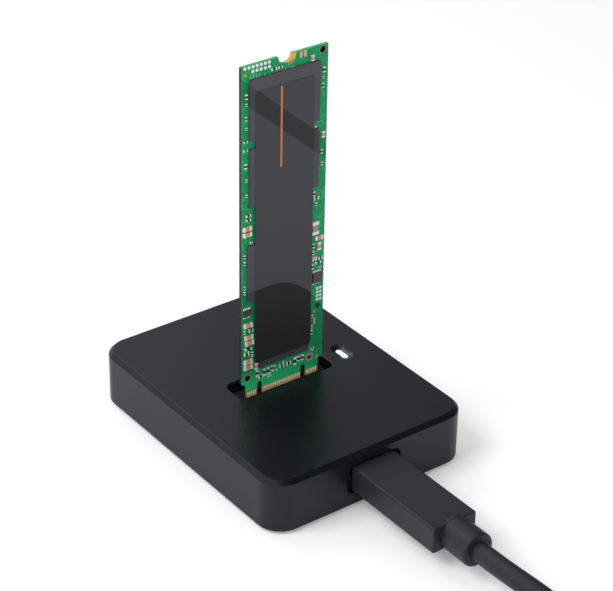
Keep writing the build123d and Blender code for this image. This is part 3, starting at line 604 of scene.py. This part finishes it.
# Case, base, feet and the board under the roof
casePieces = [  # CAD node, piece, finish, width of its rounded edges, steps in them
    ("top_shell", "topShell", casePaint, 0.12, 3), ("port_bezel", "portBezel", plugPaint, 0.15, 3),
    ("base_plate", "basePlate", innerPaint, 0.0, 2), ("light_window", "lightWindow", lightPaint, 0.08, 2),
    ("receptacle_shell", "receptacleShell", nickelPaint, 0.05, 2),
    ("socket_housing", "socketHousing", housingPaint, 0.04, 1),
]
for node, name, paint, bevel, segments in casePieces:
    copyNode(node, name, "dock", paint, bevel * mm, segments)
for corner in ("front_left", "front_right", "back_left", "back_right"):
    name = "foot" + corner.title().replace("_", "")
    copyNode("foot_" + corner, name, "dock", rubberPaint, 0.1 * mm, 2)
paintedNodes = [  # CAD nodes that keep their own shape
    (screwPaint, ("case_screws", "board_screws")), (boardPaint, ("main_board",)),
    (goldPaint, ("socket_contacts_front", "socket_contacts_back", "receptacle_contacts", "far_contacts")),
    (ringPaint, ("notch_ring",)), (fingerPaint, ("card_contacts_front", "card_contacts_back")),
    (nickelPaint, ("socket_tabs", "crystal")),
    (innerPaint, ("receptacle_tongue", "plug_insert", "far_insert")),
    (boardChipPaint, ("bridge_chip", "flash_chip", "voltage_regulator", "power_inductor", "surge_chip")),
    (tanPaint, ("bulk_capacitors", "board_capacitors")), (greyCeramicPaint, ("board_resistors",)),
    (lightPaint, ("light_diode",)),
]
for paint, painted in paintedNodes:
    for node in painted:
        paintNode(node, paint)
print("case dressed")

# Card: board, chips and labels from the CAD solids, with rounded edges
cardPieces = [  # CAD node, piece, finish, width of its rounded edges
    ("card_board", "cardBoard", boardPaint, 0.05), ("memory_chip_upper", "memoryChipUpper", chipPaint, 0.07),
    ("memory_chip_lower", "memoryChipLower", chipPaint, 0.07), ("cache_chip", "cacheChip", chipPaint, 0.07),
    ("controller_chip", "controllerChip", chipPaint, 0.07), ("card_label", "cardLabel", labelPaint, 0.03),
    ("card_back_label", "cardBackLabel", labelPaint, 0.03),
]
for node, name, paint, bevel in cardPieces:
    copyNode(node, name, "card", paint, bevel * mm, 1)


def standOnCard(mesh, u, v, across, up, out, lift=0.0):
    # Turns a mesh's x, y and z into the three ways across, up and out of the card, in mm, at u, v
    turn = Matrix((across * mm, up * mm, out * mm)).transposed().to_4x4()
    mesh.transform(Matrix.Translation(onCard(u, v, lift)) @ turn)


def joinAll(pieces):
    deselectAll()
    for piece in pieces:
        piece.select_set(True)
    bpy.context.view_layer.objects.active = pieces[0]
    bpy.ops.object.join()
    return pieces[0]


def blockPlaces(node):
    # Middle u, v and size of each separate block of a CAD node on the card, from its own mesh
    mesh = nodes[node].data
    parent = list(range(len(mesh.vertices)))
    byPlace = {}

    def root(i):
        while parent[i] != i:
            parent[i] = parent[parent[i]]
            i = parent[i]
        return i

    for vertex in mesh.vertices:
        key = tuple(round(c / (0.001 * mm)) for c in vertex.co)
        other = byPlace.setdefault(key, vertex.index)
        parent[root(vertex.index)] = root(other)
    for face in mesh.polygons:
        first = face.vertices[0]
        for index in face.vertices[1:]:
            parent[root(index)] = root(first)
    groups = {}
    for vertex in mesh.vertices:
        groups.setdefault(root(vertex.index), []).append(nodes[node].matrix_world @ vertex.co)
    places = []
    for points in groups.values():
        low = [min(p[i] for p in points) for i in range(3)]
        high = [max(p[i] for p in points) for i in range(3)]
        u = (cardHigh.x - (low[0] + high[0]) / 2) / mm
        v = ((low[2] + high[2]) / 2 - cardLow.z) / mm
        places.append((u, v, (high[0] - low[0]) / mm, (high[2] - low[2]) / mm))
    return sorted(places)


# Capacitors, small parts and fuse: a block with a narrower middle between its tinned ends
twoEnded = {"middleHalf": 0.26, "waist": 0.05, "edge": 0.05}


def twoEndedCopies(name, node, middlePaint, endPaint):
    # One part is modelled, then copied along the longer side of each block of the node
    deselectAll()
    bpy.ops.mesh.primitive_cube_add(size=1.0, location=(0, 0, 0.5))
    model = bpy.context.object
    bpy.ops.object.transform_apply(location=True)
    half = twoEnded["middleHalf"]
    inEditMode(model, lambda: bpy.ops.mesh.select_all(action="SELECT"),
               lambda: bpy.ops.mesh.bisect(plane_co=(-half, 0, 0), plane_no=(1, 0, 0)),
               lambda: bpy.ops.mesh.select_all(action="SELECT"),
               lambda: bpy.ops.mesh.bisect(plane_co=(half, 0, 0), plane_no=(1, 0, 0)))
    selectFaces(model, lambda face: abs(face.center.x) < 0.1)
    inEditMode(model, lambda: bpy.ops.mesh.extrude_region_shrink_fatten(
        TRANSFORM_OT_shrink_fatten={"value": -twoEnded["waist"]}))
    softenEdges(model, twoEnded["edge"], 2, 50)
    model.data.materials.append(middlePaint.material)
    model.data.materials.append(endPaint.material)
    for face in model.data.polygons:
        face.material_index = 1 if abs(face.center.x) > half - 0.01 else 0
    smoothShade(model, 40)
    height = (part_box(node)[1].y - cardFront) / mm
    copies = []
    for u, v, sizeU, sizeV in blockPlaces(node):
        piece = model.copy()
        piece.data = model.data.copy()
        bpy.context.scene.collection.objects.link(piece)
        if sizeU >= sizeV:
            along, across = Vector((-sizeU, 0, 0)), Vector((0, 0, sizeV))
        else:
            along, across = Vector((0, 0, sizeV)), Vector((sizeU, 0, 0))
        standOnCard(piece.data, u, v, along, across, Vector((0, height, 0)))
        copies.append(piece)
    bpy.data.objects.remove(model)
    joined = joinAll(copies)
    finishPiece(joined, name, "card", None)
    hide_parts(node)


twoEndedCopies("cardCapacitors", "card_capacitors", tanPaint, tinPaint)
twoEndedCopies("cardSmallParts", "card_small_parts", darkCeramicPaint, solderPaint)
twoEndedCopies("cardFuse", "card_fuse", greyCeramicPaint, tinPaint)
for node, name in (("card_power_chip", "cardPowerChip"), ("card_logic_chip", "cardLogicChip")):
    copyNode(node, name, "card", chipPaint, 0.04 * mm, 1)


# Low lands on the board: each is u, v, width, height, and one as wide as high is round
landThickness = 0.045


def makeLand(u, v, width, height, thickness):
    deselectAll()
    bpy.ops.mesh.primitive_cylinder_add(vertices=24, radius=0.5, depth=1.0, location=(0, 0, 0.5))
    land = bpy.context.object
    bpy.ops.object.transform_apply(location=True)
    if abs(width - height) > 0.01:
        for vertex in land.data.vertices:  # draws the round shape out towards the corners of its box
            side = max(abs(vertex.co.x), abs(vertex.co.y))
            stretch = min(math.hypot(vertex.co.x, vertex.co.y) / side, 1.3)
            vertex.co.x *= stretch
            vertex.co.y *= stretch
    selectFaces(land, lambda face: face.normal.z > 0.9)
    inEditMode(land, lambda: bpy.ops.mesh.inset(thickness=0.1, depth=0.0),
               lambda: bpy.ops.transform.translate(value=(0, 0, 0.3)))
    standOnCard(land.data, u, v, Vector((-width, 0, 0)), Vector((0, 0, height)), Vector((0, thickness, 0)))
    smoothShade(land, 40)
    return land


def makeLands(name, places, paint, thickness=landThickness):
    joined = joinAll([makeLand(*place, thickness) for place in places])
    finishPiece(joined, name, "card", [paint])


landRows = [  # first u and v, steps in u and v, count, width, height
    (0.92, 79.56, 1.007, 0.0, 7, 0.74, 0.74), (2.87, 78.55, 1.035, 0.0, 5, 0.74, 0.74),
    (20.3, 22.0, 0.0, -0.94, 4, 0.58, 0.60), (21.15, 22.0, 0.0, -0.94, 4, 0.58, 0.60),
    (2.62, 39.1, 0.0, 0.0, 1, 0.75, 0.75), (19.1, 61.64, 0.0, 0.0, 1, 0.45, 0.45),
]
solderLands = []
for u, v, stepU, stepV, count, width, height in landRows:
    solderLands += [(u + i * stepU, v + i * stepV, width, height) for i in range(count)]
makeLands("solderLands", solderLands, solderPaint)
makeLands("pinkLands", [(14.97, 79.15, 0.65, 1.45), (16.04, 79.15, 0.65, 1.45), (19.67, 13.85, 0.4, 1.7),
                        (19.53, 16.27, 0.4, 0.5)], copperPinkPaint)
makeLands("fiducials", [(0.98, 78.06, 0.72, 0.72), (20.45, 4.35, 0.78, 0.78)], fiducialPaint)
makeLands("testDot", [(20.45, 17.7, 1.2, 1.2)], bluePaint)

# Small test points: solder ones, most of them near the contacts, and pale ones above the top chip
testPoints = [
    (6.48, 4.5), (7.1, 4.6), (7.2, 3.9), (7.75, 4.5), (7.8, 3.85), (8.5, 4.85), (9.4, 4.8), (4.1, 5.0),
    (14.4, 4.3), (14.95, 6.05), (15.05, 5.3), (16.75, 5.75), (19.3, 6.45), (0.84, 12.3), (1.84, 12.2),
    (2.84, 10.75), (0.76, 13.3), (2.7, 12.7), (11.3, 6.2), (9.0, 6.0),
]
paleRow = [(u, v) for u in (2.31, 3.02, 3.80, 4.55) for v in (77.1, 77.5)]
paleRow += [(u, 77.1) for u in (5.9, 11.1, 12.4, 13.0)]
makeLands("palePoints", [(u, v, 0.28, 0.28) for u, v in paleRow], palePaint)
makeLands("testPoints", [(u, v, 0.36, 0.32) for u, v in testPoints], solderPaint)

# Feet of the two leaded chips, in a row above and a row below each
feet = {"width": 0.2, "length": 0.5, "reach": 0.22, "thickness": 0.14}
chipFeet = []
for node, count in (("card_power_chip", 6), ("card_logic_chip", 5)):
    low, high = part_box(node)
    for i in range(count):
        u = (cardHigh.x - high.x + (high.x - low.x) * (i + 0.5) / count) / mm
        above = (high.z - cardLow.z) / mm + feet["reach"]
        below = (low.z - cardLow.z) / mm - feet["reach"]
        chipFeet += [(u, v, feet["width"], feet["length"]) for v in (above, below)]
makeLands("chipFeet", chipFeet, solderPaint, feet["thickness"])


# Tooling holes: a tan ring on the board and a dark cup in the hole
toolingHoles = {"places": [(20.5, 78.95), (1.6, 5.5)], "ring": 0.90, "hole": 0.72, "depth": 0.55}


def makeHoleCup(u, v):
    deselectAll()
    ring, hole = toolingHoles["ring"], toolingHoles["hole"]
    bpy.ops.mesh.primitive_cylinder_add(vertices=40, radius=ring, depth=landThickness)
    cup = bpy.context.object
    selectFaces(cup, lambda face: face.normal.z < -0.9)
    inEditMode(cup, lambda: bpy.ops.mesh.delete(type="FACE"))
    selectFaces(cup, lambda face: face.normal.z > 0.9)
    inEditMode(cup, lambda: bpy.ops.mesh.inset(thickness=ring - hole),
               lambda: bpy.ops.mesh.extrude_region_move(
                   TRANSFORM_OT_translate={"value": (0, 0, -toolingHoles["depth"])}))
    cup.data.materials.append(tanRingPaint.material)
    cup.data.materials.append(innerPaint.material)
    for face in cup.data.polygons:
        face.material_index = 1 if math.hypot(face.center.x, face.center.y) < hole + 0.01 else 0
    smoothShade(cup, 40)
    standOnCard(cup.data, u, v, Vector((-1, 0, 0)), Vector((0, 0, 1)), Vector((0, 1, 0)), landThickness / 2)
    return cup


finishPiece(joinAll([makeHoleCup(u, v) for u, v in toolingHoles["places"]]), "toolingHoleRings", "card", None)


# Oscillator: a metal can with a raised rim round a dark lid
oscillator = {"edge": 0.04, "rim": 0.32, "sink": 0.06}


def makeOscillator():
    can = copyNode("card_oscillator", "cardOscillator", "card", canPaint, oscillator["edge"] * mm, 2)
    selectFaces(can, lambda face: face.normal.y > 0.95 and face.area > 1.0 * mm * mm)
    inEditMode(can, lambda: bpy.ops.mesh.inset(thickness=oscillator["rim"] * mm, depth=0.0),
               lambda: bpy.ops.transform.translate(value=(0, -oscillator["sink"] * mm, 0)))
    can.data.materials.append(lidPaint.material)
    for face in can.data.polygons:
        if face.select:
            face.material_index = 1


makeOscillator()
print("card dressed")

# Plugs, their reliefs and the coil's tie
plugPieces = [  # CAD node, piece, finish, width of its rounded edges
    ("plug_body", "plugBody", plugPaint, 0.10), ("plug_relief", "plugRelief", jacketPaint, 0.10),
    ("plug_shell", "plugShell", nickelPaint, 0.04), ("cable_tie", "cableTie", rubberPaint, 0.08),
    ("far_relief", "farRelief", jacketPaint, 0.12), ("far_body", "farBody", plugPaint, 0.10),
    ("far_shell", "farShell", nickelPaint, 0.05),
]
onCable = [nodes[node] for node in ("plug_insert", "far_insert", "far_contacts")]
for node, name, paint, bevel in plugPieces:
    onCable.append(copyNode(node, name, "cable", paint, bevel * mm, 2))
print("plugs dressed")

# Floor, light and background
studio = {
    "floorSize": 4.0, "floorColour": (0.86, 0.86, 0.88), "floorMirrored": (0.60, 0.61, 0.64),
    "floorLift": 0.12, "worldColour": (1.0, 1.0, 1.0), "worldLight": 0.55, "white": 1.0,
    "paleSide": (0.797, -0.604, 0.0), "turn": (-0.20, 0.17), "reflected": (0.04, 0.66),
    "lamps": [  # name, place, aim, size, power, seen in reflections
        ("keyLamp", (0.60, -0.10, 0.75), (0, 0, 0.02), (0.5, 0.4), 5.0, False),
        ("fillLamp", (0.35, 0.75, 0.45), (0, 0, 0.04), (0.6, 0.4), 3.0, False),
        ("backLamp", (0.05, -0.62, 0.62), (0, 0, 0.03), (0.4, 0.25), 1.2, True)],
}


def makeFloor():
    bpy.ops.mesh.primitive_plane_add(size=studio["floorSize"], location=(0, 0, 0))
    floor = bpy.context.object
    floor.name = "studioFloor"
    paint = Paint("floorPale", Roughness=0.7, EmissionStrength=1.0)
    seen = paint.node("ShaderNodeLightPath", {}, {}, "Is Camera Ray")
    mirrored = paint.node("ShaderNodeLightPath", {}, {}, "Is Glossy Ray")
    paint.set(BaseColor=paint.mix(mirrored, studio["floorColour"], studio["floorMirrored"]))
    lift = studio["floorLift"]
    paint.set(EmissionColor=paint.mix(seen, (0.0, 0.0, 0.0), (lift, lift, lift)))
    floor.data.materials.append(paint.material)


def makeWorld():
    # White for the camera, even for diffuse light, and for reflections a dark room with a paler side
    world = bpy.data.worlds.new("studioWorld")
    world.use_nodes = True
    tree = world.node_tree
    background = tree.nodes["Background"]
    path = tree.nodes.new("ShaderNodeLightPath")
    coordinates = tree.nodes.new("ShaderNodeTexCoord")
    side = tree.nodes.new("ShaderNodeVectorMath")
    side.operation = "DOT_PRODUCT"
    side.inputs[1].default_value = studio["paleSide"]
    tree.links.new(coordinates.outputs["Generated"], side.inputs[0])
    reflected = tree.nodes.new("ShaderNodeMapRange")
    reflected.inputs["From Min"].default_value, reflected.inputs["From Max"].default_value = studio["turn"]
    reflected.inputs["To Min"].default_value, reflected.inputs["To Max"].default_value = studio["reflected"]
    tree.links.new(side.outputs["Value"], reflected.inputs["Value"])
    lit = tree.nodes.new("ShaderNodeMix")
    lit.inputs["A"].default_value = studio["worldLight"]
    tree.links.new(path.outputs["Is Glossy Ray"], lit.inputs["Factor"])
    tree.links.new(reflected.outputs[0], lit.inputs["B"])
    strength = tree.nodes.new("ShaderNodeMix")
    strength.inputs["B"].default_value = studio["white"]
    tree.links.new(path.outputs["Is Camera Ray"], strength.inputs["Factor"])
    tree.links.new(lit.outputs["Result"], strength.inputs["A"])
    tree.links.new(strength.outputs["Result"], background.inputs["Strength"])
    background.inputs["Color"].default_value = (*studio["worldColour"], 1)
    bpy.context.scene.world = world


def makeLamp(name, place, aim, size, power, reflected):
    data = bpy.data.lights.new(name, "AREA")
    data.energy = power
    data.shape = "RECTANGLE"
    data.size, data.size_y = size
    lamp = bpy.data.objects.new(name, data)
    bpy.context.scene.collection.objects.link(lamp)
    lamp.location = place
    lamp.rotation_euler = (Vector(aim) - Vector(place)).to_track_quat("-Z", "Y").to_euler()
    lamp.visible_glossy = reflected


makeFloor()
makeWorld()
for lamp in studio["lamps"]:
    makeLamp(*lamp)
bpy.context.scene.view_settings.view_transform = "Standard"
print("studio lit")
